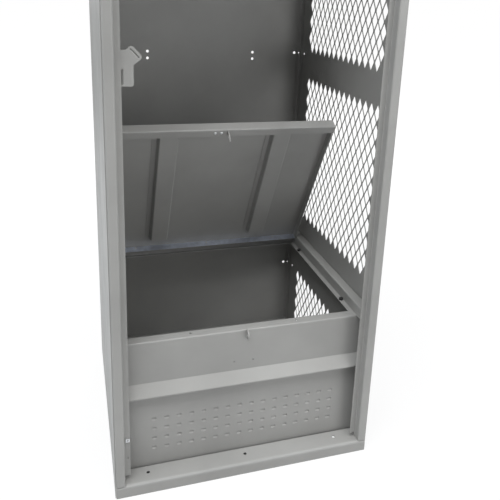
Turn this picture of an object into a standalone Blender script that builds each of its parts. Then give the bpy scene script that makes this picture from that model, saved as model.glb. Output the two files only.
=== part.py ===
"""Open-front equipment locker with a lidded foot locker, metres, +Z up.

The origin is at the centre of the footprint, at floor level. -Y is the open front, +X is the
perforated side. The seat lid is built shut and then turned open about its hinge.
"""
import math

import bmesh
import bpy
from mathutils import Matrix, Vector

# Overall sizes
locker_width = 0.610
locker_depth = 0.610
locker_height = 1.829

# Sheet metal
panel_sheet = 0.0015
frame_sheet = 0.0018
bend_radius = 0.0015
bend_steps = 3
gap = 0.0003
overrun = 0.002

# Front posts and header
post_face = 0.0201
jamb_depth = 0.020
stop_flange = 0.0134
post_side_lap = 0.018
header_face = 0.045
panel_setback = 0.0035

# Base sill and its anchor holes
sill_height = 0.0295
sill_nose_radius = 0.006
sill_rear_leg = 0.012
sill_panel_gap = 0.004
anchor_hole_diameter = 0.0078
anchor_hole_inset = 0.075
anchor_hole_setback = 0.0305
post_foot_notch = 0.011

# Rear corner angles
corner_leg = 0.0155
corner_back_leg = 0.012

# Foot locker front, measured back from the locker's front plane and up from the floor
lower_face_setback = 0.0545
upper_face_setback = 0.0565
panel_foot = 0.010
rib_nose_setback = 0.036
rib_bottom = 0.207
rib_nose_height = 0.2197
rib_top = 0.2465
seat_ledge_height = 0.350
front_flange = 0.024
flange_hole_diameter = 0.006
flange_hole_side_inset = 0.178
flange_hole_inset = 0.010
face_hole_diameter = 0.0045
face_hole_height = 0.269
face_hole_spacing = 0.046
face_hole_offset = 0.0036

# Louvres pressed inward from the lower face
louvre_side_margin = 0.0865
louvre_offset = 0.0042
louvre_rows = 4
louvre_pitch = 0.0289
louvre_row_pitch = 0.0258
louvre_width = 0.0105
louvre_height = 0.0072
louvre_depth = 0.0036
louvre_wall = 0.0010
louvre_lip = 0.0005
louvre_centre_height = 0.112

# Seat rails
rail_rise = 0.0273
rail_top_flange = 0.0248
rail_ledge = 0.0113
rail_wall_leg = 0.020
rear_rail_depth = 0.092

# Bumpers
bumper_diameter = 0.010
bumper_height = 0.006
bumper_front_setback = 0.137
bumper_rear_inset = 0.072

# Hinge
hinge_leaf = 0.0012
knuckle_radius = 0.0029
pin_clearance = 0.0002
hinge_axis_rise = 0.0016
hinge_leaf_drop = 0.0185
hinge_knuckles = 13
knuckle_gap = 0.0004
curl_angle = math.radians(300.0)
curl_steps = 8
hinge_end_margin = 0.004
hinge_fixing_inset = 0.0673
rivet_head_diameter = 0.0060
rivet_head_height = 0.0014

# Seat lid
lid_side_clearance = 0.0021
lid_front_setback = 0.0405
lid_side_flange = 0.021
lid_front_skirt = 0.027
lid_return_flange = 0.0215
lid_open_angle = math.radians(60.0)

# Lid stiffeners
stiffener_inset = 0.1338
stiffener_crown = 0.042
stiffener_height = 0.015
stiffener_slope = 0.004
stiffener_foot = 0.012
stiffener_front_margin = 0.010
stiffener_rear_margin = 0.041

# Hasp on the lid and staple on the foot locker front
padlock_offset = -0.0020
hasp_sheet = 0.0025
hasp_leg_length = 0.040
hasp_leg_width = 0.0110
hasp_setback_clearance = 0.0003
hasp_drop = 0.026
hasp_taper = 0.014
padlock_hole_diameter = 0.0080
padlock_hole_drop = 0.0118
slot_clearance = 0.001
hasp_rivet_inset = 0.007
hasp_rivet_spacing = 0.015
hasp_rivet_diameter = 0.0075
hasp_rivet_height = 0.0022
staple_sheet = 0.003
staple_reach = 0.0175
staple_height = 0.020
staple_nose_radius = 0.0095
staple_side_gap = 0.0025

# Perforated side: fields of diamonds between blank margins and bands
perforation_front_setback = 0.0755
perforation_rear_margin = 0.0765
perforation_pitch = 0.0462
perforation_rise = 0.0660
perforation_strand = 0.0042
foot_field_bottom = 0.0600
foot_field_top = 0.2465
main_field_bottom = 0.4330
main_field_height = 0.4275
main_field_pitch = 0.500
top_field_margin = 0.058

# Bolt holes towards neighbouring lockers and the wall
bolt_hole_diameter = 0.008
bolt_small_diameter = 0.0042
bolt_pair_inset = 0.152
bolt_pair_rise = 0.019
bolt_corner_inset = 0.021
bolt_angle_inset = 0.0075
bolt_side_inset = 0.0315
bolt_low_row = 0.220
bolt_high_row = 0.906

# Shelf, rod and floor
shelf_height = 1.400
shelf_front_setback = 0.070
shelf_flange = 0.020
rod_diameter = 0.019
rod_drop = 0.060
rod_bracket_inset = 0.0412
rod_bracket_width = 0.040
rod_bracket_sheet = 0.003
rod_overhang = 0.012
pan_flange = 0.020
floor_height = 0.032

# Strike plate and clip nut on the left post
strike_sheet = 0.002
strike_bottom = 0.9176
strike_height = 0.068
strike_reach = 0.0233
strike_lap = 0.013
strike_corner_radius = 0.004
strike_neck = 0.0278
strike_shoulder = 0.0098
ear_angle = math.radians(-47.0)
ear_root_angle = math.radians(155.0)
ear_setback = 0.0196
ear_length = 0.0179
ear_radius = 0.0068
slot_radius = 0.0032
slot_ramp = 0.0034
ear_slot_offset = 0.0014
keyhole_inset = 0.0005
keyhole_rise = 0.003
keyhole_length = 0.030
flange_fixing_inset = 0.005
nut_side = 0.0085
nut_thickness = 0.003
nut_bore_diameter = 0.004
nut_height = 0.1357
tie_hole_height = 0.088
tie_hole_diameter = 0.0045

round_sides = 16
small_sides = 8
head_sides = 10
half_width = locker_width / 2
front = -locker_depth / 2
rear = locker_depth / 2
wall_inner = half_width - panel_sheet
wall_fit = wall_inner - gap
back_inner = rear - panel_sheet
back_fit = back_inner - gap
stop_back = front + jamb_depth + frame_sheet
stop_inner = wall_fit - post_face - stop_flange
flange_fixing = stop_inner + flange_fixing_inset
rail_web = wall_fit - rail_top_flange
seat_top = seat_ledge_height + rail_rise
rear_rail = rear - rear_rail_depth
hinge_axis_y = rear_rail - gap - knuckle_radius
hinge_axis_z = seat_top + hinge_axis_rise
lid_rear = hinge_axis_y - knuckle_radius - gap
lid_front = front + lid_front_setback
lid_half = rail_web - lid_side_clearance
hinge_half = lid_half - hinge_end_margin


def clear_scene():
    for item in list(bpy.data.objects):
        bpy.data.objects.remove(item, do_unlink=True)


def make_material(name, colour, roughness, metallic):
    material = bpy.data.materials.new(name)
    material.use_nodes = True
    shader = material.node_tree.nodes["Principled BSDF"]
    shader.inputs["Base Color"].default_value = (*colour, 1.0)
    shader.inputs["Roughness"].default_value = roughness
    shader.inputs["Metallic"].default_value = metallic
    return material


def paint(name):
    return make_material(name + "_paint", (0.27, 0.27, 0.265), 0.42, 0.0)


def zinc(name):
    return make_material(name + "_zinc", (0.50, 0.51, 0.53), 0.35, 1.0)


def rubber(name):
    return make_material(name + "_rubber", (0.015, 0.015, 0.015), 0.75, 0.0)


def new_object(name, mesh, finish=paint):
    item = bpy.data.objects.new(name, mesh)
    bpy.context.scene.collection.objects.link(item)
    if finish is not None:
        mesh.materials.append(finish(name))
    return item


def mesh_from(name, body):
    bmesh.ops.recalc_face_normals(body, faces=body.faces)
    mesh = bpy.data.meshes.new(name)
    body.to_mesh(mesh)
    body.free()
    return mesh


def add_loft(body, near_outline, far_outline, place, start, end):
    """Closed solid between two outlines of equal count; place(u, v, w) gives the 3-D point."""
    near = [body.verts.new(place(u, v, start)) for u, v in near_outline]
    far = [body.verts.new(place(u, v, end)) for u, v in far_outline]
    body.faces.new(near)
    body.faces.new(list(reversed(far)))
    count = len(near)
    for i in range(count):
        j = (i + 1) % count
        body.faces.new((near[j], near[i], far[i], far[j]))


def prism_mesh(name, outlines, place, start, end):
    """Extrude closed 2-D outlines between two stations."""
    body = bmesh.new()
    for outline in outlines:
        add_loft(body, outline, outline, place, start, end)
    return mesh_from(name, body)


def along_x(u, v, w):
    return (w, u, v)


def along_y(u, v, w):
    return (u, w, v)


def along_z(u, v, w):
    return (u, v, w)


def rectangle(u0, u1, v0, v1):
    return [(u0, v0), (u1, v0), (u1, v1), (u0, v1)]


def circle(u, v, radius, sides=round_sides):
    turn = 2 * math.pi / sides
    return [(u + radius * math.cos(i * turn), v + radius * math.sin(i * turn)) for i in range(sides)]


def unit(vector):
    return vector / vector.length


def offset_path(path, distance):
    """Move an open 2-D path to its left by a distance, with mitred corners."""
    points = [Vector(p) for p in path]
    moved = []
    for i, point in enumerate(points):
        before = unit(point - points[i - 1]) if i else None
        after = unit(points[i + 1] - point) if i + 1 < len(points) else None
        first = before if before is not None else after
        second = after if after is not None else before
        left_first = Vector((-first.y, first.x))
        left_second = Vector((-second.y, second.x))
        bisector = unit(left_first + left_second)
        moved.append(point + bisector * (distance / bisector.dot(left_first)))
    return moved


def bent_outline(path, thickness, radius=bend_radius, steps=bend_steps):
    """Outline of a bent sheet whose visible face follows the path, with material on its left."""
    centre = offset_path(path, thickness / 2)
    middle_radius = radius + abs(thickness) / 2
    stations = [(centre[0], unit(centre[1] - centre[0]))]
    for i in range(1, len(centre) - 1):
        before = unit(centre[i] - centre[i - 1])
        after = unit(centre[i + 1] - centre[i])
        turn = math.atan2(before.x * after.y - before.y * after.x, before.dot(after))
        reach = middle_radius * math.tan(abs(turn) / 2)
        side = Vector((-before.y, before.x)) * math.copysign(1.0, turn)
        hub = centre[i] - before * reach + side * middle_radius
        for step in range(steps + 1):
            angle = turn * step / steps
            spin = Matrix.Rotation(angle, 2)
            stations.append((hub + spin @ (-side * middle_radius), spin @ before))
    stations.append((centre[-1], unit(centre[-1] - centre[-2])))
    left = [p + Vector((-d.y, d.x)) * thickness / 2 for p, d in stations]
    right = [p - Vector((-d.y, d.x)) * thickness / 2 for p, d in stations]
    return [tuple(p) for p in right + list(reversed(left))]


def rounded_outline(corners, steps=bend_steps):
    """Closed outline through (u, v, radius) corners, with an arc where the radius isn't zero."""
    outline = []
    count = len(corners)
    for i, (u, v, radius) in enumerate(corners):
        here = Vector((u, v))
        if not radius:
            outline.append((u, v))
            continue
        before = unit(here - Vector(corners[i - 1][:2]))
        after = unit(Vector(corners[(i + 1) % count][:2]) - here)
        turn = math.atan2(before.x * after.y - before.y * after.x, before.dot(after))
        reach = radius * math.tan(abs(turn) / 2)
        side = Vector((-before.y, before.x)) * math.copysign(1.0, turn)
        hub = here - before * reach + side * radius
        for step in range(steps + 1):
            outline.append(tuple(hub + Matrix.Rotation(turn * step / steps, 2) @ (-side * radius)))
    return outline


def sheet_outline(corners, thickness):
    """Bent sheet along (u, v, outer radius) corners, with its material on the path's right."""
    path = offset_path([(u, v) for u, v, _ in corners], -thickness)
    inner = [(u, v, max(radius - thickness, 0.0)) for (u, v), (_, _, radius) in zip(path, corners)]
    return rounded_outline(corners) + list(reversed(rounded_outline(inner)))


def mirrored(outline):
    return [(-u, v) for u, v in reversed(outline)]


def prism(name, outline, place, start, end, finish=paint):
    return new_object(name, prism_mesh(name, [outline], place, start, end), finish)


def tool_object(name, mesh):
    item = new_object(name, mesh, None)
    item.hide_render = True
    item.display_type = 'WIRE'
    return item


def cutter(name, outlines, place, start, end):
    return tool_object(name, prism_mesh(name, outlines, place, start, end))


def boolean(target, other, operation):
    modifier = target.modifiers.new(operation.lower() + "_" + other.name, 'BOOLEAN')
    modifier.operation = operation
    modifier.solver = 'EXACT'
    modifier.object = other
    return target


def cut(target, other):
    return boolean(target, other, 'DIFFERENCE')


def apply_modifiers(item):
    """Replace the mesh by its evaluated form and drop the helper objects it used."""
    helpers = [m.object for m in item.modifiers if getattr(m, "object", None) is not None]
    bpy.context.view_layer.update()
    evaluated = item.evaluated_get(bpy.context.evaluated_depsgraph_get())
    mesh = bpy.data.meshes.new_from_object(evaluated)
    item.modifiers.clear()
    item.data = mesh
    for helper in helpers:
        bpy.data.objects.remove(helper, do_unlink=True)
    return item


def smooth(item):
    item.data.shade_smooth()
    item.data.set_sharp_from_angle(angle=math.radians(35.0))
    return item


def build_posts():
    """Front face, side lap, jamb return and recessed stop flange in one bent strip."""
    outer = -wall_fit
    inner = outer + post_face
    edge = inner + stop_flange
    path = [
        (outer, front + post_side_lap),
        (outer, front),
        (inner, front),
        (inner, front + jamb_depth),
        (edge, front + jamb_depth),
    ]
    outline = bent_outline(path, frame_sheet)
    bottom = sill_height + gap
    left = prism("left_front_post", outline, along_z, bottom, locker_height)
    holes = [
        circle(-flange_fixing, nut_height, nut_bore_diameter / 2),
        circle(-flange_fixing, tie_hole_height, tie_hole_diameter / 2),
    ]
    notch = rectangle(inner + bend_radius, edge + overrun, bottom - overrun, bottom + post_foot_notch)
    near = front + jamb_depth - overrun
    far = stop_back + overrun
    cut(left, cutter("left_post_cutter", holes + [notch], along_y, near, far))
    right = prism("right_front_post", mirrored(outline), along_z, bottom, locker_height)
    cut(right, cutter("right_post_cutter", [mirrored(notch)], along_y, near, far))
    return [smooth(apply_modifiers(left)), smooth(apply_modifiers(right))]


def build_header():
    depth = jamb_depth - bend_radius - gap
    path = [
        (front + depth, locker_height),
        (front, locker_height),
        (front, locker_height - header_face),
        (front + depth, locker_height - header_face),
    ]
    half = wall_fit - post_face - gap
    return smooth(prism("header_rail", bent_outline(path, frame_sheet), along_x, -half, half))


def build_sill():
    """Front member with a rounded top edge, a rear leg and three anchor holes."""
    back = front + lower_face_setback - sill_panel_gap
    corners = [(front, 0.0, 0.0), (front, sill_height, sill_nose_radius), (back, sill_height, bend_radius),
               (back, sill_height - sill_rear_leg, 0.0)]
    sill = prism("base_sill", sheet_outline(corners, frame_sheet), along_x, -wall_fit, wall_fit)
    reach = half_width - anchor_hole_inset
    holes = [circle(x, front + anchor_hole_setback, anchor_hole_diameter / 2) for x in (-reach, 0.0, reach)]
    under = sill_height - frame_sheet - overrun
    cut(sill, cutter("anchor_cutter", holes, along_z, under, sill_height + overrun))
    return smooth(apply_modifiers(sill))


def diamond_outlines(bottom, top):
    """Staggered rows of diamonds which fill a field of the side, tips touching its edges."""
    near = front + perforation_front_setback
    far = rear - perforation_rear_margin
    columns = round((far - near + perforation_strand) / perforation_pitch)
    rows = round(2 * (top - bottom + perforation_strand) / perforation_rise) - 1
    pitch = (far - near + perforation_strand) / columns
    rise = 2 * (top - bottom + perforation_strand) / (rows + 1)
    half_across = (pitch - perforation_strand) / 2
    half_up = (rise - perforation_strand) / 2
    outlines = []
    for row in range(rows):
        stagger = row % 2
        v = top - half_up - row * rise / 2
        for column in range(columns - stagger):
            u = near + half_across + (column + stagger / 2) * pitch
            outlines.append([(u, v - half_up), (u + half_across, v), (u, v + half_up), (u - half_across, v)])
    return outlines


def build_sides():
    start = front + panel_setback
    sheet = rectangle(start, back_fit, 0.0, locker_height)
    left = prism("left_side_panel", sheet, along_x, -half_width, -wall_inner)
    right = prism("right_side_panel", sheet, along_x, wall_inner, half_width)
    outlines = diamond_outlines(foot_field_bottom, foot_field_top)
    top_field_bottom = main_field_bottom
    while top_field_bottom + main_field_height < locker_height - top_field_margin:
        outlines += diamond_outlines(top_field_bottom, top_field_bottom + main_field_height)
        top_field_bottom += main_field_pitch
    outlines += diamond_outlines(top_field_bottom, locker_height - top_field_margin)
    bolts = [circle(rear - bolt_side_inset, height + bolt_pair_rise, bolt_hole_diameter / 2, small_sides)
             for height in (bolt_low_row, bolt_high_row)]
    inside = wall_inner - overrun
    outside = half_width + overrun
    cut(right, cutter("diamond_cutter", outlines + bolts, along_x, inside, outside))
    cut(left, cutter("left_bolt_cutter", bolts, along_x, -outside, -inside))
    return [apply_modifiers(left), apply_modifiers(right)]


def bolt_holes(rows, places, diameter):
    """Holes in the given rows, at each distance in from the locker's sides."""
    return [circle(sign * (half_width - inset), height + rise, diameter / 2, small_sides)
            for height in rows for inset, rise in places for sign in (-1, 1)]


def build_back():
    sheet = rectangle(-half_width, half_width, 0.0, locker_height)
    back = prism("back_panel", sheet, along_y, back_inner, rear)
    pairs = ((bolt_pair_inset, 0.0), (bolt_pair_inset, bolt_pair_rise))
    rows = (bolt_low_row, bolt_high_row)
    holes = bolt_holes((bolt_high_row,), pairs, bolt_hole_diameter)
    holes += bolt_holes(rows, ((bolt_corner_inset, bolt_pair_rise),), bolt_hole_diameter)
    holes += bolt_holes(rows, ((bolt_angle_inset, bolt_pair_rise),), bolt_small_diameter)
    cut(back, cutter("bolt_cutter", holes, along_y, back_inner - overrun, rear + overrun))
    return apply_modifiers(back)


def build_rear_corners():
    corner = wall_fit
    path = [
        (-corner, back_fit - corner_leg),
        (-corner, back_fit),
        (-corner + corner_back_leg, back_fit),
    ]
    outline = bent_outline(path, -panel_sheet)
    bottom = floor_height + gap
    top = locker_height - pan_flange - gap
    rows = (bolt_low_row, bolt_high_row)
    corners = []
    for name, side in (("left_rear_corner", outline), ("right_rear_corner", mirrored(outline))):
        angle = prism(name, side, along_z, bottom, top)
        holes = bolt_holes(rows, ((bolt_angle_inset, bolt_pair_rise),), bolt_small_diameter)
        near = back_fit - panel_sheet - overrun
        cut(angle, cutter(name + "_cutter", holes, along_y, near, back_fit + overrun))
        corners.append(smooth(apply_modifiers(angle)))
    return corners


def build_top():
    path = [
        (wall_fit, locker_height - pan_flange),
        (wall_fit, locker_height),
        (-wall_fit, locker_height),
        (-wall_fit, locker_height - pan_flange),
    ]
    return smooth(prism("top_panel", bent_outline(path, panel_sheet), along_y, stop_back + gap, back_fit))


def build_floor():
    path = [
        (wall_fit, 0.0),
        (wall_fit, floor_height),
        (-wall_fit, floor_height),
        (-wall_fit, 0.0),
    ]
    start = front + lower_face_setback + frame_sheet + gap
    return smooth(prism("floor_pan", bent_outline(path, panel_sheet), along_y, start, back_fit))


def corner_notches(name, bottom, top):
    """Clears the rear corner angles from a shelf that reaches the back."""
    inner = wall_fit - corner_back_leg - gap
    near = back_fit - corner_leg - gap
    corner = rectangle(inner, half_width, near, rear)
    return cutter(name, [corner, mirrored(corner)], along_z, bottom - overrun, top + overrun)


def louvre_places():
    span = 2 * (wall_fit - louvre_side_margin)
    columns = round(span / louvre_pitch) + 1
    for row in range(louvre_rows):
        v = louvre_centre_height + (row - (louvre_rows - 1) / 2) * louvre_row_pitch
        for column in range(columns):
            yield louvre_offset + (column - (columns - 1) / 2) * louvre_pitch, v


def louvre_tool(name, across, profile):
    """One prism for each louvre, its profile in (setback, rise) about the louvre's centre."""
    body = bmesh.new()
    for u, v in louvre_places():
        outline = [(y, v + z) for y, z in profile]
        add_loft(body, outline, outline, along_x, u - across / 2, u + across / 2)
    return tool_object(name, mesh_from(name, body))


def build_front_panel():
    """Louvred face, pressed rib, plain upper face and top flange in one sheet."""
    face = front + lower_face_setback
    path = [
        (face, panel_foot),
        (face, rib_bottom),
        (front + rib_nose_setback, rib_nose_height),
        (front + upper_face_setback, rib_top),
        (front + upper_face_setback, seat_ledge_height),
        (front + upper_face_setback + front_flange, seat_ledge_height),
    ]
    panel = prism("foot_locker_front", bent_outline(path, -frame_sheet), along_x, -wall_fit, wall_fit)
    notch_inner = rail_web - gap
    low = seat_ledge_height - frame_sheet - gap
    shoulder = rectangle(notch_inner, half_width, low, seat_top)
    shoulders = [shoulder, mirrored(shoulder)]
    flange_end = front + upper_face_setback + front_flange
    cut(panel, cutter("shoulder_cutter", shoulders, along_y, front, flange_end + overrun))
    reach = half_width - flange_hole_side_inset
    holes = [circle(x, flange_end - flange_hole_inset, flange_hole_diameter / 2, small_sides)
             for x in (-reach, reach)]
    cut(panel, cutter("flange_hole_cutter", holes, along_z,
                      seat_ledge_height - frame_sheet - overrun, seat_ledge_height + overrun))
    upper = front + upper_face_setback
    holes = [circle(x - face_hole_offset, face_hole_height, face_hole_diameter / 2, small_sides)
             for x in (-face_hole_spacing / 2, face_hole_spacing / 2)]
    cut(panel, cutter("face_hole_cutter", holes, along_y, upper - overrun, upper + frame_sheet + overrun))
    half = louvre_height / 2
    back = face + frame_sheet + louvre_depth
    hood = [(face + frame_sheet / 2, -half - louvre_wall), (face + frame_sheet / 2, half - louvre_lip),
            (back, half - louvre_lip)]
    boolean(panel, louvre_tool("louvre_hoods", louvre_width + 2 * louvre_wall, hood), 'UNION')
    throat = [(face - overrun, -half), (face, -half), (back - louvre_wall, half), (face - overrun, half)]
    cut(panel, louvre_tool("louvre_throats", louvre_width, throat))
    return smooth(apply_modifiers(panel))


def build_side_rails():
    """Wall leg, top flange, web and ledge; the ledge starts behind the foot locker front."""
    ledge_start = front + upper_face_setback + front_flange + gap
    path = [
        (wall_fit, seat_top - rail_wall_leg),
        (wall_fit, seat_top),
        (rail_web, seat_top),
        (rail_web, seat_ledge_height),
        (rail_web - rail_ledge, seat_ledge_height),
    ]
    outline = bent_outline(path, frame_sheet)
    rails = []
    for name, side in (("left_seat_rail", mirrored(outline)), ("right_seat_rail", outline)):
        rail = prism(name, side, along_y, stop_back + gap, rear_rail - gap)
        sign = 1 if side is outline else -1
        edges = sorted((sign * (rail_web - rail_ledge - overrun), sign * (rail_web + frame_sheet + overrun)))
        tip = rectangle(*edges, seat_ledge_height - frame_sheet - overrun, seat_ledge_height + gap)
        cut(rail, cutter(name + "_cutter", [tip], along_y, front, ledge_start))
        rails.append(smooth(apply_modifiers(rail)))
    return rails


def build_rear_rail():
    path = [
        (rear_rail - rail_ledge, seat_ledge_height),
        (rear_rail, seat_ledge_height),
        (rear_rail, seat_top),
        (back_fit, seat_top),
        (back_fit, seat_top - rail_wall_leg),
    ]
    rail = prism("rear_seat_rail", bent_outline(path, -frame_sheet), along_x, -wall_fit, wall_fit)
    ledge_half = rail_web - rail_ledge - gap
    corner = rectangle(ledge_half, half_width, rear_rail - rail_ledge - overrun, rear_rail - gap / 2)
    under = seat_ledge_height - frame_sheet - overrun
    cut(rail, cutter("rear_ledge_cutter", [corner, mirrored(corner)], along_z, under, seat_top))
    cut(rail, corner_notches("rear_rail_notch", seat_top - rail_wall_leg, seat_top))
    return smooth(apply_modifiers(rail))


def build_bumpers():
    x = rail_web - rail_ledge / 2
    bottom = seat_ledge_height + gap
    top = seat_ledge_height + bumper_height
    bumpers = []
    for side, u in (("left", -x), ("right", x)):
        for end, v in (("front", front + bumper_front_setback), ("rear", rear_rail - bumper_rear_inset)):
            outline = circle(u, v, bumper_diameter / 2)
            bumpers.append(smooth(prism(f"bumper_{side}_{end}", outline, along_z, bottom, top, rubber)))
    return bumpers


def build_staple():
    """Padlock eye standing forward from the foot locker front, beside the lid's hasp."""
    face = front + upper_face_setback - gap
    tip = face - staple_reach
    top = seat_ledge_height
    bottom = top - staple_height
    radius = staple_nose_radius
    steps = round_sides // 4
    upper = [(tip + radius - radius * math.sin(i * math.pi / 2 / steps),
              top - radius + radius * math.cos(i * math.pi / 2 / steps)) for i in range(steps + 1)]
    lower = [(tip + radius - radius * math.cos(i * math.pi / 2 / steps),
              bottom + radius - radius * math.sin(i * math.pi / 2 / steps)) for i in range(steps + 1)]
    outline = [(face, top)] + upper + lower + [(face, bottom)]
    left = padlock_offset + staple_side_gap
    right = left + staple_sheet
    staple = prism("padlock_staple", outline, along_x, left, right)
    eye = circle(*padlock_eye(), padlock_hole_diameter / 2)
    cut(staple, cutter("staple_eye_cutter", [eye], along_x, left - overrun, right + overrun))
    return smooth(apply_modifiers(staple))


def padlock_eye():
    y = front + upper_face_setback - gap - hasp_setback_clearance - hasp_leg_width / 2
    return (y, seat_ledge_height - padlock_hole_drop)


def build_shelf():
    path = [
        (front + shelf_front_setback, shelf_height - shelf_flange),
        (front + shelf_front_setback, shelf_height),
        (back_fit, shelf_height),
        (back_fit, shelf_height - shelf_flange),
    ]
    shelf = prism("upper_shelf", bent_outline(path, -panel_sheet), along_x, -wall_fit, wall_fit)
    cut(shelf, corner_notches("shelf_notch", shelf_height - shelf_flange, shelf_height))
    return smooth(apply_modifiers(shelf))


def build_rod():
    """Coat rod carried by two drop brackets under the shelf."""
    centre_y = 0.0
    centre_z = shelf_height - panel_sheet - rod_drop
    offset = wall_fit - rod_bracket_inset
    half = offset + rod_overhang
    rod = smooth(prism("coat_rod", circle(centre_y, centre_z, rod_diameter / 2), along_x, -half, half, zinc))
    brackets = []
    under = shelf_height - panel_sheet - gap
    reach = rod_bracket_width / 2
    for side, sign in (("left", -1), ("right", 1)):
        edge = sign * (offset + rod_bracket_sheet / 2)
        path = [
            (edge, centre_z - reach),
            (edge, under),
            (edge - sign * reach, under),
        ]
        outline = bent_outline(path, sign * rod_bracket_sheet)
        name = f"rod_bracket_{side}"
        bracket = prism(name, outline, along_y, centre_y - reach, centre_y + reach)
        bore = circle(centre_y, centre_z, rod_diameter / 2 + gap)
        cut(bracket, cutter(name + "_bore", [bore], along_x, -half, half))
        brackets.append(smooth(apply_modifiers(bracket)))
    return [rod] + brackets


def slot_outline(centre, angle, length, radius, ramp=0.0):
    """Round-ended slot; ramp moves its lower side inward."""
    steps = round_sides // 4
    along = Vector((math.cos(angle), math.sin(angle)))
    across = Vector((-along.y, along.x))
    outline = []
    for end in (1, -1):
        hub = centre + along * end * length / 2
        for i in range(2 * steps + 1):
            turn = math.pi * i / (2 * steps) - math.pi / 2
            side = math.sin(turn) * radius * end
            point = hub + along * end * math.cos(turn) * radius + across * max(side, ramp - radius)
            outline.append(tuple(point))
    return outline


def ramped_slot(name, centre, angle, length, near, far):
    """Slot through the plate whose lower side slopes back from the front face to the rear one."""
    slope = slot_ramp * overrun / strike_sheet
    wide = slot_outline(centre, angle, length, slot_radius, -slope)
    narrow = slot_outline(centre, angle, length, slot_radius, slot_ramp + slope)
    body = bmesh.new()
    add_loft(body, wide, narrow, along_y, near - overrun, far + overrun)
    return tool_object(name, mesh_from(name, body))


def build_strike():
    """Latch plate behind the left stop flange, with a slotted ear set off at an angle."""
    hidden = -stop_inner - strike_lap
    visible = -stop_inner
    right = visible + strike_reach
    bottom = strike_bottom
    top = strike_bottom + strike_height
    near = stop_back + gap
    far = near + strike_sheet
    first = Vector((visible + ear_setback, top))
    along = Vector((math.cos(ear_angle), math.sin(ear_angle)))
    last = first + along * ear_length
    ear = []
    steps = round_sides // 4
    for hub, begin in ((first, ear_root_angle), (last, math.pi / 2 + ear_angle)):
        sweep = math.pi / 2 if hub is last else begin - math.pi / 2 - ear_angle
        for i in range(steps + 1):
            angle = begin - sweep * i / steps
            ear.append((hub.x + ear_radius * math.cos(angle), hub.y + ear_radius * math.sin(angle), 0.0))
    corners = [(hidden, bottom, 0.0), (hidden, top, 0.0), (visible + strike_shoulder, top, 0.0)] + ear
    corners += [(right, top - strike_neck, 0.0), (right, bottom, strike_corner_radius)]
    plate = prism("latch_strike_plate", rounded_outline(corners), along_y, near, far)
    across = Vector((-along.y, along.x))
    middle = (first + last) / 2 - across * ear_slot_offset
    cut(plate, ramped_slot("ear_slot_cutter", middle, ear_angle, ear_length, near, far))
    keyhole = Vector((visible + keyhole_inset + slot_radius, bottom + keyhole_rise + keyhole_length / 2))
    length = keyhole_length - 2 * slot_radius
    cut(plate, ramped_slot("keyhole_cutter", keyhole, math.pi / 2, length, near, far))
    return apply_modifiers(plate)


def build_clip_nut():
    u = -flange_fixing
    face = front + jamb_depth - gap
    half = nut_side / 2
    outline = rectangle(u - half, u + half, nut_height - half, nut_height + half)
    nut = prism("clip_nut", outline, along_y, face - nut_thickness, face, zinc)
    bore = circle(u, nut_height, nut_bore_diameter / 2, small_sides)
    cut(nut, cutter("clip_nut_bore", [bore], along_y, face - nut_thickness - overrun, face + overrun))
    return apply_modifiers(nut)


def hinge_outline(sign):
    """Leaf and open curl about the hinge axis; sign -1 is the lid's leaf, +1 the rail's."""
    outer = knuckle_radius
    inner = knuckle_radius - hinge_leaf
    begin = 0.0
    outside = []
    inside = []
    for i in range(curl_steps + 1):
        angle = begin + curl_angle * i / curl_steps
        outside.append((sign * outer * math.cos(angle), outer * math.sin(angle)))
        inside.append((sign * inner * math.cos(angle), inner * math.sin(angle)))
    drop = -hinge_leaf_drop
    outline = [(sign * outer, drop)] + outside + list(reversed(inside)) + [(sign * inner, drop)]
    return [(hinge_axis_y + u, hinge_axis_z + v) for u, v in outline]


def knuckle_gaps(name, first):
    """Boxes which cut every second knuckle away, down to just below the curl."""
    length = 2 * hinge_half / hinge_knuckles
    bottom = hinge_axis_z - knuckle_radius - gap
    reach = knuckle_radius + overrun
    outline = rectangle(hinge_axis_y - reach, hinge_axis_y + reach, bottom, hinge_axis_z + reach)
    body = bmesh.new()
    for i in range(first, hinge_knuckles, 2):
        start = -hinge_half + i * length - knuckle_gap / 2
        end = start + length + knuckle_gap
        start = start - overrun if i == 0 else start
        end = end + overrun if i == hinge_knuckles - 1 else end
        add_loft(body, outline, outline, along_x, start, end)
    return tool_object(name, mesh_from(name, body))


def build_hinge():
    fixed = prism("hinge_fixed_leaf", hinge_outline(1), along_x, -hinge_half, hinge_half, zinc)
    cut(fixed, knuckle_gaps("fixed_knuckle_gaps", 1))
    moving = prism("hinge_moving_leaf", hinge_outline(-1), along_x, -hinge_half, hinge_half, zinc)
    cut(moving, knuckle_gaps("moving_knuckle_gaps", 0))
    radius = knuckle_radius - hinge_leaf - pin_clearance
    round_bar = circle(hinge_axis_y, hinge_axis_z, radius)
    pin = prism("hinge_pin", round_bar, along_x, -hinge_half, hinge_half, zinc)
    return smooth(apply_modifiers(fixed)), smooth(apply_modifiers(moving)), smooth(pin)


def dome(name, spot, place, foot, height):
    """Low domed head on a plane, over the round outline that it covers there."""
    steps = 2
    centre = sum((Vector(point) for point in spot), Vector((0.0, 0.0))) / len(spot)
    body = bmesh.new()
    rings = []
    for i in range(steps):
        angle = math.pi / 2 * i / steps
        ring = [centre + (Vector(point) - centre) * math.cos(angle) for point in spot]
        rings.append([body.verts.new(place(u, v, foot + height * math.sin(angle))) for u, v in ring])
    tip = body.verts.new(place(*centre, foot + height))
    count = len(spot)
    body.faces.new(rings[0])
    for i in range(count):
        j = (i + 1) % count
        for lower, upper in zip(rings, rings[1:]):
            body.faces.new((lower[i], lower[j], upper[j], upper[i]))
        body.faces.new((rings[-1][i], rings[-1][j], tip))
    return smooth(new_object(name, mesh_from(name, body), zinc))


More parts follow.
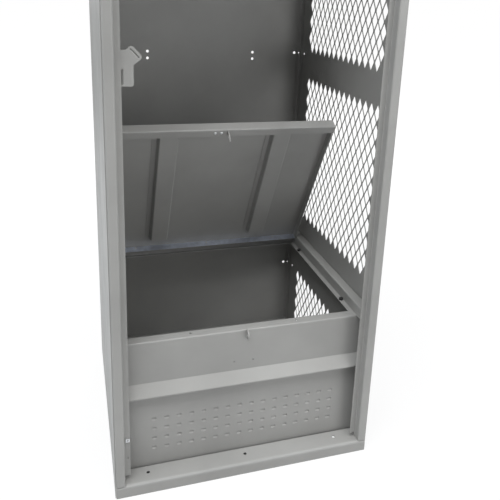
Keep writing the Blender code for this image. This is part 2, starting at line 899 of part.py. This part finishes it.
def fixing_places():
    reach = hinge_half - hinge_fixing_inset
    return (("left", -reach), ("middle", 0.0), ("right", reach))


def build_hinge_fixings():
    """Heads of the rail's fixings, behind the web, and of the lid's, inside the rear skirt."""
    height = seat_top - (hinge_leaf_drop - hinge_axis_rise) / 2
    rail_heads = []
    lid_heads = []
    behind = rear_rail + frame_sheet + gap
    inside = lid_rear - panel_sheet - gap
    for place, x in fixing_places():
        spot = circle(x, height, rivet_head_diameter / 2, head_sides)
        rail_heads.append(dome(f"rail_rivet_{place}", spot, along_y, behind, rivet_head_height))
        lid_heads.append(dome(f"lid_rivet_{place}", spot, along_y, inside, -rivet_head_height))
    return rail_heads, lid_heads


def lid_form(name, inset, finish):
    """Block with the lid's bends rounded, inset by a wall: the outer form, or the hollow."""
    radius = bend_radius + panel_sheet - inset
    rear_y = lid_rear - inset
    front_y = lid_front + inset
    top = seat_top - inset
    foot = seat_top - lid_front_skirt + inset
    if inset:
        inner_edge = lid_front + lid_return_flange
        below = foot - panel_sheet - overrun
        tail = [(front_y, foot, radius), (inner_edge, foot, 0.0), (inner_edge, below, 0.0)]
        corners = [(rear_y, below, 0.0), (rear_y, top, radius), (front_y, top, radius)] + tail
    else:
        tail = [(front_y, foot, radius)]
        corners = [(rear_y, foot, 0.0), (rear_y, top, radius), (front_y, top, radius)] + tail
    block = prism(name, rounded_outline(corners), along_x, -lid_half - overrun, lid_half + overrun, finish)
    side = lid_half - inset
    low = seat_top - lid_front_skirt - overrun * 2
    arch = [(-side, low, 0.0), (-side, top, radius), (side, top, radius), (side, low, 0.0)]
    trim = cutter(name + "_sides", [rounded_outline(arch)], along_y, lid_front - overrun, lid_rear + overrun)
    boolean(block, trim, 'INTERSECT')
    return apply_modifiers(block)


def build_lid():
    """Pan with side flanges and rear skirt, and a deeper front skirt turned inward at its foot."""
    lid = lid_form("seat_lid", 0.0, paint)
    hollow = lid_form("lid_hollow", panel_sheet, None)
    cut(lid, hollow)
    behind = rectangle(lid_front + lid_return_flange, lid_rear + overrun,
                       seat_top - lid_front_skirt - overrun, seat_top - lid_side_flange)
    cut(lid, cutter("lid_foot_cutter", [behind], along_x, -lid_half - overrun, lid_half + overrun))
    skirt_bottom = seat_top - lid_front_skirt
    slot = rectangle(padlock_offset - hasp_sheet - slot_clearance, padlock_offset + slot_clearance,
                     padlock_eye()[0] - hasp_leg_width / 2 - slot_clearance,
                     padlock_eye()[0] + hasp_leg_width / 2 + slot_clearance)
    floor = skirt_bottom + panel_sheet
    cut(lid, cutter("hasp_slot_cutter", [slot], along_z, skirt_bottom - overrun, floor + overrun))
    return smooth(apply_modifiers(lid))


def build_stiffeners():
    top = seat_top - panel_sheet - gap
    start = lid_front + panel_sheet + stiffener_front_margin
    end = lid_rear - panel_sheet - stiffener_rear_margin
    crown = stiffener_crown / 2
    root = crown + stiffener_slope
    toe = root + stiffener_foot
    stiffeners = []
    offset = lid_half - stiffener_inset
    for side, centre in (("left", -offset), ("right", offset)):
        path = [
            (centre - toe, top),
            (centre - root, top),
            (centre - crown, top - stiffener_height),
            (centre + crown, top - stiffener_height),
            (centre + root, top),
            (centre + toe, top),
        ]
        outline = bent_outline(path, -panel_sheet)
        stiffeners.append(smooth(prism(f"lid_stiffener_{side}", outline, along_y, start, end)))
    return stiffeners


def build_hasp():
    """Angle riveted inside the lid's return flange; its eye hangs through the slot."""
    floor = seat_top - lid_front_skirt + panel_sheet + gap
    eye_y, eye_z = padlock_eye()
    near = eye_y - hasp_leg_width / 2
    far = eye_y + hasp_leg_width / 2
    bottom = seat_ledge_height - hasp_drop
    path = [
        (padlock_offset - hasp_leg_length, floor + hasp_sheet),
        (padlock_offset, floor + hasp_sheet),
        (padlock_offset, bottom),
    ]
    hasp = prism("lid_hasp", bent_outline(path, -hasp_sheet), along_y, near, far)
    eye = circle(eye_y, eye_z, padlock_hole_diameter / 2)
    taper = [(near - overrun, bottom - overrun), (far - bend_radius, bottom - overrun),
             (near, bottom + hasp_taper), (near - overrun, bottom + hasp_taper)]
    left = padlock_offset - hasp_sheet - overrun
    cut(hasp, cutter("hasp_eye_cutter", [eye, taper], along_x, left, padlock_offset + overrun))
    apply_modifiers(hasp)
    under = seat_top - lid_front_skirt - gap
    rivets = []
    places = (hasp_leg_length - hasp_rivet_inset - hasp_rivet_spacing, hasp_leg_length - hasp_rivet_inset)
    for number, place in enumerate(places, 1):
        spot = circle(padlock_offset - place, eye_y, hasp_rivet_diameter / 2, head_sides)
        rivets.append(dome(f"hasp_rivet_{number}", spot, along_z, under, -hasp_rivet_height))
    return [smooth(hasp)] + rivets


def hang_on_hinge(pieces):
    """Carry the lid's pieces on an empty at the hinge axis, turned to the open angle."""
    axis = bpy.data.objects.new("lid_hinge_axis", None)
    bpy.context.scene.collection.objects.link(axis)
    axis.location = (0.0, hinge_axis_y, hinge_axis_z)
    axis.rotation_euler = (-lid_open_angle, 0.0, 0.0)
    shift = Matrix.Translation((0.0, -hinge_axis_y, -hinge_axis_z))
    for piece in pieces:
        piece.data.transform(shift)
        piece.parent = axis


def main():
    clear_scene()
    build_posts()
    build_header()
    build_sill()
    build_sides()
    build_back()
    build_rear_corners()
    build_top()
    build_floor()
    build_front_panel()
    build_side_rails()
    build_rear_rail()
    build_bumpers()
    build_staple()
    build_shelf()
    build_rod()
    build_strike()
    build_clip_nut()
    fixed_leaf, moving_leaf, pin = build_hinge()
    rail_heads, lid_heads = build_hinge_fixings()
    lid = build_lid()
    moving = [lid, moving_leaf] + build_stiffeners() + build_hasp() + lid_heads
    hang_on_hinge(moving)
    bpy.context.view_layer.update()


main()
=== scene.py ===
import math

import bmesh
import bpy
from mathutils import Matrix, Vector


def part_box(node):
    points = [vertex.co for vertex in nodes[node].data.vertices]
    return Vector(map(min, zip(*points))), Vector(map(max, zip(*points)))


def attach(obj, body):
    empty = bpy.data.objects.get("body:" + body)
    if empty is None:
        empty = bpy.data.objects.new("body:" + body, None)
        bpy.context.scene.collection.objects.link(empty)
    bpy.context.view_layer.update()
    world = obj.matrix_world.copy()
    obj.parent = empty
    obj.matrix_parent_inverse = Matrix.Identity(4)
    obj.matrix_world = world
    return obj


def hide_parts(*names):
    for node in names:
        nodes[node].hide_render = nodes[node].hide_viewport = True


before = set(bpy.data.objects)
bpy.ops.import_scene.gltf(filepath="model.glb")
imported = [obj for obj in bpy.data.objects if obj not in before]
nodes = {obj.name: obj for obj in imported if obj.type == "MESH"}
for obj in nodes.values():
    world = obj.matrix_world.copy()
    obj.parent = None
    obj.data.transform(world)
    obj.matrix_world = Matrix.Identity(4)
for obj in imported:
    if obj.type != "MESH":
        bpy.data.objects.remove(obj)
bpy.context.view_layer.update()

# Camera as measured from the photograph's vanishing lines
CAMERA_PLACE = (-0.354, -1.437, 1.099)
CAMERA_YAW = math.radians(17.87)
CAMERA_PITCH = math.radians(15.79)
CAMERA_ROLL = math.radians(2.38)
FOCAL_PIXELS = 607.9
CENTRE_PIXEL = (265.3, 163.3)
PICTURE_PIXELS = 500
SENSOR_WIDTH = 36.0
CLIP_END = 50.0

WHITE = (1.0, 1.0, 1.0)
PAINT_GREY = (0.272, 0.270, 0.260)
HINGE_ZINC = (0.60, 0.645, 0.74)
RIVET_ZINC = (0.68, 0.69, 0.70)
RUBBER_BLACK = (0.014, 0.014, 0.014)
RUBBER_DUST = (0.05, 0.05, 0.048)

# Paint: brightness of its clouds, grain, and wear that on edges is also a painted highlight, against the
# plain colour, and how much of each shows
CLOUD_DARK = 0.93
CLOUD_LIGHT = 1.07
GRAIN_LIGHT = 1.18
GRAIN_SHARE = 0.22
WEAR_AND_HIGHLIGHT_LIGHT = 1.4
SCRATCH_SHARE = 0.15
EDGE_WEAR_AND_HIGHLIGHT_SHARE = 0.30
PAINT_SMOOTHEST = 0.37
PAINT_ROUGHEST = 0.49
PAINT_SPECULAR = 0.45

# Zinc: brightness of its light streaks against the plain colour, and how much of them shows
STREAK_LIGHT = 1.12
STREAK_SHARE = 0.25

# Samples of the rounded normal that finds the edges
BEVEL_SAMPLES = 6

# Sockets of a Mix node that mixes colours
MIX_FACTOR, MIX_FIRST, MIX_SECOND, MIX_RESULT = 0, 6, 7, 2

# Seat lid as it stands at rest, and the plated inner face of its rear skirt
HINGE_AXIS = (0.0, 0.2098, 0.3789)
LID_OPEN = math.radians(60.0)
SKIRT_REACH = 0.030
SKIRT_FACING = 0.98

# Diamonds of the side sheet at the photograph's density
DIAMOND_WIDTH = 0.0270
DIAMOND_HEIGHT = 0.0412
TIP_SHARE = 0.09
SIDE_SHARE = 0.11
CORNER_FLATTENING = 0.9
COLUMN_PITCH = 0.0308
ROW_PITCH = 0.0229
COLUMNS = 15

# Fields of diamonds: height and rearmost centre of the top row, and number of rows
DIAMOND_FIELDS = (
    (0.2258, 0.2174, 8),
    (0.8411, 0.2187, 18),
    (1.3421, 0.2239, 18),
    (1.7475, 0.2239, 14),
)

# Bolt holes of the side sheet
BOLT_INSET = 0.0315
BOLT_HEIGHTS = (0.239, 0.925)
BOLT_RADIUS = 0.004
BOLT_SIDES = 16

# How far the punch stands out past both faces of the side sheet
PUNCH_OVERRUN = 0.002

# Floor: its shade in the light it throws back, then the shade and the near and far glow for the camera
FLOOR_REACH = 40.0
FLOOR_SHADE = 0.54
FLOOR_SEEN_SHADE = 0.10
FLOOR_ROUGHNESS = 0.9
NEAR_GLOW = 0.86
FAR_GLOW = 0.98
NEAR_DISTANCE = 0.6
FAR_DISTANCE = 3.5

# Part of the floor that the locker covers, where the glow is taken away. It stops short of the perforated
# side, where the glow stays under the locker as painted light coming in
COVERED_CENTRE = -0.035
COVERED_HALF_WIDTH = 0.2695
COVERED_HALF_DEPTH = 0.300
COVERED_EDGE = 0.98

# Sky as the object sees it, and as the camera and reflections do
SKY_LEVEL = 0.21
SKY_SEEN = 1.0

# Lamps: name, azimuth, elevation, distance, size, level and colour. The azimuth starts at the open front and
# grows towards the perforated side. The level is how brightly the lamp lights a white card that faces it.
LAMP_TARGET = (0.0, -0.1, 0.7)
LAMPS = (
    ("key", -22.0, 62.0, 4.4, 2.5, 0.31, WHITE),
    ("key_left", -55.0, 60.0, 6.0, 3.2, 0.66, (0.94, 0.97, 1.0)),
    ("key_right", 52.0, 60.0, 6.0, 3.2, 0.25, WHITE),
    ("overhead", 0.0, 72.0, 4.4, 2.5, 0.36, WHITE),
    ("side_fill", -92.0, 25.0, 3.2, 1.8, 0.46, (0.90, 0.95, 1.0)),
    ("front_fill", 30.0, 8.0, 4.0, 2.4, 0.25, WHITE),
    ("rear_fill", 180.0, 28.0, 3.6, 2.0, 0.45, WHITE),
    ("right_fill", 80.0, 16.0, 3.4, 2.2, 0.38, (0.88, 0.94, 1.0)),
)


def add_to_scene(name, data):
    item = bpy.data.objects.new(name, data)
    bpy.context.scene.collection.objects.link(item)
    return item


def make_camera():
    data = bpy.data.cameras.new("photo_camera")
    camera = add_to_scene("photo_camera", data)
    look = Vector((math.sin(CAMERA_YAW) * math.cos(CAMERA_PITCH),
                   math.cos(CAMERA_YAW) * math.cos(CAMERA_PITCH), -math.sin(CAMERA_PITCH)))
    right = Vector((math.cos(CAMERA_YAW), -math.sin(CAMERA_YAW), 0.0))
    up = right.cross(look)
    tilted_right = right * math.cos(CAMERA_ROLL) + up * math.sin(CAMERA_ROLL)
    tilted_up = up * math.cos(CAMERA_ROLL) - right * math.sin(CAMERA_ROLL)
    turn = Matrix((tilted_right, tilted_up, -look)).transposed()
    camera.matrix_world = Matrix.Translation(CAMERA_PLACE) @ turn.to_4x4()
    data.sensor_width = SENSOR_WIDTH
    data.lens = FOCAL_PIXELS * SENSOR_WIDTH / PICTURE_PIXELS
    data.shift_x = (PICTURE_PIXELS / 2 - CENTRE_PIXEL[0]) / PICTURE_PIXELS
    data.shift_y = (CENTRE_PIXEL[1] - PICTURE_PIXELS / 2) / PICTURE_PIXELS
    data.clip_end = CLIP_END
    bpy.context.scene.camera = camera


def rgba(colour, brightness=1.0):
    return tuple(min(1.0, part * brightness) for part in colour) + (1.0,)


class Nodes:
    """Short way to build a material's node tree."""

    def __init__(self, name):
        self.material = bpy.data.materials.new(name)
        self.material.use_nodes = True
        self.tree = self.material.node_tree
        self.shader = self.tree.nodes["Principled BSDF"]

    def add(self, kind, inputs=None, **settings):
        node = self.tree.nodes.new(kind)
        for key, value in settings.items():
            setattr(node, key, value)
        for key, value in (inputs or {}).items():
            self.feed(node.inputs[key], value)
        return node

    def feed(self, socket, value):
        if isinstance(value, bpy.types.NodeSocket):
            self.tree.links.new(value, socket)
        else:
            socket.default_value = value

    def shade(self, name, value):
        """Set or link a socket of the material's shader."""
        self.feed(self.shader.inputs[name], value)

    def object_place(self):
        return self.add("ShaderNodeTexCoord").outputs["Object"]

    def math(self, operation, first, second=0.0):
        return self.add("ShaderNodeMath", {0: first, 1: second}, operation=operation).outputs[0]

    def noise(self, vector, scale, detail=2.0, roughness=0.5):
        node = self.add("ShaderNodeTexNoise", {"Vector": vector, "Scale": scale, "Detail": detail,
                                               "Roughness": roughness})
        return node.outputs["Fac"]

    def ramp(self, value, low, high, out_low=0.0, out_high=1.0):
        node = self.add("ShaderNodeMapRange", {"Value": value, "From Min": low, "From Max": high,
                                               "To Min": out_low, "To Max": out_high})
        return node.outputs[0]

    def mix(self, factor, first, second):
        node = self.add("ShaderNodeMix", data_type="RGBA")
        self.feed(node.inputs[MIX_FACTOR], factor)
        self.feed(node.inputs[MIX_FIRST], first)
        self.feed(node.inputs[MIX_SECOND], second)
        return node.outputs[MIX_RESULT]

    def bump(self, height, strength, distance, normal=None):
        node = self.add("ShaderNodeBump", {"Height": height, "Strength": strength, "Distance": distance})
        if normal is not None:
            self.feed(node.inputs["Normal"], normal)
        return node.outputs[0]

    def edge_mask(self, radius, low, high):
        """How far a rounded normal turns from the flat one: bright along folded and cut edges."""
        rounded = self.add("ShaderNodeBevel", {"Radius": radius}, samples=BEVEL_SAMPLES).outputs[0]
        flat = self.add("ShaderNodeNewGeometry").outputs["Normal"]
        dot = self.add("ShaderNodeVectorMath", {0: rounded, 1: flat}, operation="DOT_PRODUCT")
        return self.ramp(self.math("SUBTRACT", 1.0, dot.outputs["Value"]), low, high)


def paint_material(name, colour):
    """Satin powder coat: faint clouding, fine grain, hair scratches, edges lightened by rubbed wear and a
    painted highlight, and orange peel.
    """
    t = Nodes(name)
    place = t.object_place()

    cloud = t.noise(place, scale=4.5, detail=4.0, roughness=0.55)
    speck = t.noise(place, scale=900.0, detail=2.0, roughness=0.6)
    base = t.mix(t.ramp(cloud, low=0.35, high=0.65), rgba(colour, CLOUD_DARK), rgba(colour, CLOUD_LIGHT))
    grain = t.ramp(speck, low=0.62, high=0.75, out_high=GRAIN_SHARE)
    base = t.mix(grain, base, rgba(colour, GRAIN_LIGHT))

    wear_and_highlight = rgba(colour, WEAR_AND_HIGHLIGHT_LIGHT)
    stretched = t.add("ShaderNodeMapping", {"Vector": place, "Scale": (60.0, 60.0, 5.0),
                                            "Rotation": (0.35, 0.2, 0.5)}).outputs[0]
    hair = t.ramp(t.noise(stretched, scale=6.0, detail=3.0, roughness=0.7), low=0.70, high=0.74)
    base = t.mix(t.math("MULTIPLY", hair, SCRATCH_SHARE), base, wear_and_highlight)
    # Folded and cut edges are lightened: partly rubbed wear, partly a painted highlight along the bends
    edges = t.edge_mask(radius=0.0012, low=0.03, high=0.22)
    broken = t.ramp(t.noise(place, scale=55.0, detail=4.0, roughness=0.65), low=0.42, high=0.66)
    edge_wear_and_highlight = t.math("MULTIPLY", t.math("MULTIPLY", edges, broken), EDGE_WEAR_AND_HIGHLIGHT_SHARE)
    t.shade("Base Color", t.mix(edge_wear_and_highlight, base, wear_and_highlight))

    smear = t.noise(place, scale=14.0, detail=3.0)
    t.shade("Roughness", t.ramp(smear, low=0.3, high=0.7, out_low=PAINT_SMOOTHEST, out_high=PAINT_ROUGHEST))
    wave = t.bump(t.noise(place, scale=9.0, detail=1.0, roughness=0.4), strength=0.10, distance=0.004)
    peel = t.noise(place, scale=420.0, detail=2.0, roughness=0.5)
    t.shade("Normal", t.bump(peel, strength=0.16, distance=0.0006, normal=wave))
    t.shade("Specular IOR Level", PAINT_SPECULAR)
    return t.material


def metal_material(name, colour, dullest, smoothest, roughest):
    """Zinc plate: light streaks drawn along X over patches that are duller and rougher."""
    t = Nodes(name)
    place = t.object_place()
    streaks = t.add("ShaderNodeMapping", {"Vector": place, "Scale": (6.0, 260.0, 260.0)}).outputs[0]
    drawn = t.noise(streaks, scale=3.0, detail=3.0, roughness=0.6)
    patch = t.noise(place, scale=60.0, detail=3.0, roughness=0.6)
    light = rgba(colour, STREAK_LIGHT)
    base = t.mix(t.ramp(patch, low=0.35, high=0.68), rgba(colour, dullest), light)
    t.shade("Base Color", t.mix(t.ramp(drawn, low=0.45, high=0.75, out_high=STREAK_SHARE), base, light))
    t.shade("Roughness", t.ramp(patch, low=0.3, high=0.7, out_low=smoothest, out_high=roughest))
    t.shade("Normal", t.bump(drawn, strength=0.12, distance=0.0004))
    t.shade("Metallic", 1.0)
    return t.material


def rubber_material(name):
    """Matt black rubber with a fine grain and thin dust."""
    t = Nodes(name)
    place = t.object_place()
    grain = t.noise(place, scale=700.0, detail=2.0, roughness=0.6)
    dust = t.ramp(t.noise(place, scale=120.0, detail=3.0), low=0.45, high=0.75, out_high=0.35)
    t.shade("Base Color", t.mix(dust, rgba(RUBBER_BLACK), rgba(RUBBER_DUST)))
    t.shade("Roughness", t.ramp(grain, low=0.3, high=0.7, out_low=0.6, out_high=0.85))
    t.shade("Normal", t.bump(grain, strength=0.2, distance=0.0003))
    return t.material


def dress(names, material):
    for name in names:
        mesh = nodes[name].data
        mesh.materials.clear()
        mesh.materials.append(material)
        for polygon in mesh.polygons:
            polygon.material_index = 0


def plate_hinge_strip(zinc):
    """The inner face of the lid's rear skirt is plated as the hinge is."""
    mesh = nodes["seat_lid"].data
    mesh.materials.append(zinc)
    axis = Vector(HINGE_AXIS)
    facing = Vector((0.0, -math.cos(LID_OPEN), math.sin(LID_OPEN)))
    for polygon in mesh.polygons:
        arm = polygon.center - axis
        arm.x = 0.0
        if polygon.normal.dot(facing) > SKIRT_FACING and arm.length < SKIRT_REACH:
            polygon.material_index = 1


def dress_frame():
    """Dress every piece by its name, and return the paint."""
    paint = paint_material("powder_coat", PAINT_GREY)
    zinc = metal_material("hinge_zinc", HINGE_ZINC, dullest=0.8775, smoothest=0.28, roughest=0.48)
    rivet = metal_material("rivet_zinc", RIVET_ZINC, dullest=0.9125, smoothest=0.24, roughest=0.44)
    rubber = rubber_material("bumper_rubber")
    zinc_nodes = [n for n in nodes if n.startswith("hinge_")] + ["coat_rod"]
    rivet_nodes = [n for n in nodes if "_rivet_" in n] + ["clip_nut"]
    rubber_nodes = [n for n in nodes if n.startswith("bumper_")]
    painted = sorted(set(nodes) - set(zinc_nodes) - set(rivet_nodes) - set(rubber_nodes))
    dress(painted, paint)
    dress(zinc_nodes, zinc)
    dress(rivet_nodes, rivet)
    dress(rubber_nodes, rubber)
    plate_hinge_strip(zinc)
    return paint


def diamond(y, z):
    """One opening with its four corners blunted, about its centre."""
    corners = [(0.0, DIAMOND_HEIGHT / 2), (DIAMOND_WIDTH / 2, 0.0),
               (0.0, -DIAMOND_HEIGHT / 2), (-DIAMOND_WIDTH / 2, 0.0)]
    points = []
    for i, (u, v) in enumerate(corners):
        before, after = corners[i - 1], corners[(i + 1) % 4]
        share = SIDE_SHARE if i % 2 else TIP_SHARE
        blunt = 1.0 - share * CORNER_FLATTENING
        points.append((u + (before[0] - u) * share, v + (before[1] - v) * share))
        points.append((u * blunt, v * blunt))
        points.append((u + (after[0] - u) * share, v + (after[1] - v) * share))
    return [(y + u, z + v) for u, v in points]


def diamond_rows(top, rearmost, rows):
    """Staggered rows of one field, from its top row down."""
    outlines = []
    for row in range(rows):
        stagger = row % 2
        z = top - row * ROW_PITCH
        for column in range(COLUMNS - stagger):
            outlines.append(diamond(rearmost - (column + stagger / 2) * COLUMN_PITCH, z))
    return outlines


def ring(y, z):
    turns = [math.tau * i / BOLT_SIDES for i in range(BOLT_SIDES)]
    return [(y + BOLT_RADIUS * math.cos(a), z + BOLT_RADIUS * math.sin(a)) for a in turns]


def loop_prism(body, outline, low_x, high_x):
    """Add a closed prism along X over an outline of (y, z) points."""
    near = [body.verts.new((low_x, y, z)) for y, z in outline]
    far = [body.verts.new((high_x, y, z)) for y, z in outline]
    body.faces.new(near)
    body.faces.new(list(reversed(far)))
    count = len(outline)
    for i in range(count):
        j = (i + 1) % count
        body.faces.new((near[j], near[i], far[i], far[j]))


def mesh_object(name, body):
    bmesh.ops.recalc_face_normals(body, faces=body.faces)
    mesh = bpy.data.meshes.new(name)
    body.to_mesh(mesh)
    body.free()
    return add_to_scene(name, mesh)


def perforated_side(paint):
    """The side sheet with the photograph's own diamonds, in place of the coarser CAD sheet."""
    low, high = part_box("right_side_panel")
    body = bmesh.new()
    loop_prism(body, [(low.y, low.z), (high.y, low.z), (high.y, high.z), (low.y, high.z)], low.x, high.x)
    sheet = mesh_object("perforated_side", body)

    outlines = []
    for top, rearmost, rows in DIAMOND_FIELDS:
        outlines += diamond_rows(top, rearmost, rows)
    outlines += [ring(high.y - BOLT_INSET, height) for height in BOLT_HEIGHTS]
    body = bmesh.new()
    for outline in outlines:
        loop_prism(body, outline, low.x - PUNCH_OVERRUN, high.x + PUNCH_OVERRUN)
    punch = mesh_object("side_punch", body)

    cut = sheet.modifiers.new("punch", 'BOOLEAN')
    cut.operation = 'DIFFERENCE'
    cut.solver = 'EXACT'
    cut.object = punch
    bpy.context.view_layer.update()
    punched = bpy.data.meshes.new_from_object(sheet.evaluated_get(bpy.context.evaluated_depsgraph_get()))
    sheet.modifiers.clear()
    sheet.data = punched
    bpy.data.objects.remove(punch, do_unlink=True)

    sheet.data.materials.clear()
    sheet.data.materials.append(paint)
    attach(sheet, "cabinet")
    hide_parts("right_side_panel")


def make_floor():
    """Pale floor that glows for the camera alone, except where the locker covers it."""
    body = bmesh.new()
    corners = [(-FLOOR_REACH, -FLOOR_REACH), (FLOOR_REACH, -FLOOR_REACH),
               (FLOOR_REACH, FLOOR_REACH), (-FLOOR_REACH, FLOOR_REACH)]
    body.faces.new([body.verts.new((x, y, 0.0)) for x, y in corners])
    floor = mesh_object("studio_floor", body)

    t = Nodes("floor_white")
    seen = t.add("ShaderNodeLightPath").outputs["Is Camera Ray"]
    t.shade("Base Color", t.mix(seen, rgba(WHITE, FLOOR_SHADE), rgba(WHITE, FLOOR_SEEN_SHADE)))
    t.shade("Roughness", FLOOR_ROUGHNESS)
    t.shade("Specular IOR Level", 0.0)
    t.shade("Emission Color", rgba(WHITE))

    place = t.add("ShaderNodeNewGeometry").outputs["Position"]
    away = t.add("ShaderNodeVectorMath", {0: place}, operation="LENGTH").outputs["Value"]
    glow = t.ramp(away, NEAR_DISTANCE, FAR_DISTANCE, NEAR_GLOW, FAR_GLOW)
    split = t.add("ShaderNodeSeparateXYZ", {0: place})
    across = t.math("ABSOLUTE", t.math("SUBTRACT", split.outputs["X"], COVERED_CENTRE))
    across = t.math("DIVIDE", across, COVERED_HALF_WIDTH)
    along = t.math("DIVIDE", t.math("ABSOLUTE", split.outputs["Y"]), COVERED_HALF_DEPTH)
    # The glow is taken away under the locker, but kept under its perforated side as painted light coming in
    open_floor = t.ramp(t.math("MAXIMUM", across, along), COVERED_EDGE, 1.0)
    open_glow = t.math("MULTIPLY", glow, open_floor)
    t.shade("Emission Strength", t.math("MULTIPLY", seen, open_glow))
    floor.data.materials.append(t.material)


def make_world():
    """White to the camera and in reflections, and a plain soft level on the object."""
    world = bpy.data.worlds.new("studio")
    bpy.context.scene.world = world
    world.use_nodes = True
    tree = world.node_tree
    background = tree.nodes["Background"]
    background.inputs["Color"].default_value = rgba(WHITE)
    path = tree.nodes.new("ShaderNodeLightPath")
    seen = path.outputs["Is Camera Ray"]
    for ray in ("Is Transmission Ray", "Is Glossy Ray"):
        either = tree.nodes.new("ShaderNodeMath")
        either.operation = 'MAXIMUM'
        tree.links.new(seen, either.inputs[0])
        tree.links.new(path.outputs[ray], either.inputs[1])
        seen = either.outputs[0]
    level = tree.nodes.new("ShaderNodeMapRange")
    level.inputs["To Min"].default_value = SKY_LEVEL
    level.inputs["To Max"].default_value = SKY_SEEN
    tree.links.new(seen, level.inputs["Value"])
    tree.links.new(level.outputs[0], background.inputs["Strength"])


def soft_light(name, azimuth, elevation, distance, size, level, colour):
    """Square soft box aimed at the locker."""
    flat = math.cos(math.radians(elevation))
    away = Vector((math.sin(math.radians(azimuth)) * flat, -math.cos(math.radians(azimuth)) * flat,
                   math.sin(math.radians(elevation))))
    data = bpy.data.lights.new(name, 'AREA')
    data.shape = 'SQUARE'
    data.size = size
    data.color = colour
    data.energy = level * (math.pi * distance) ** 2
    lamp = add_to_scene(name, data)
    lamp.location = Vector(LAMP_TARGET) + away * distance
    lamp.rotation_euler = away.to_track_quat('Z', 'Y').to_euler()


make_camera()
coat = dress_frame()
perforated_side(coat)
make_floor()
make_world()
for lamp_settings in LAMPS:
    soft_light(*lamp_settings)

view = bpy.context.scene.view_settings
view.view_transform = 'Standard'
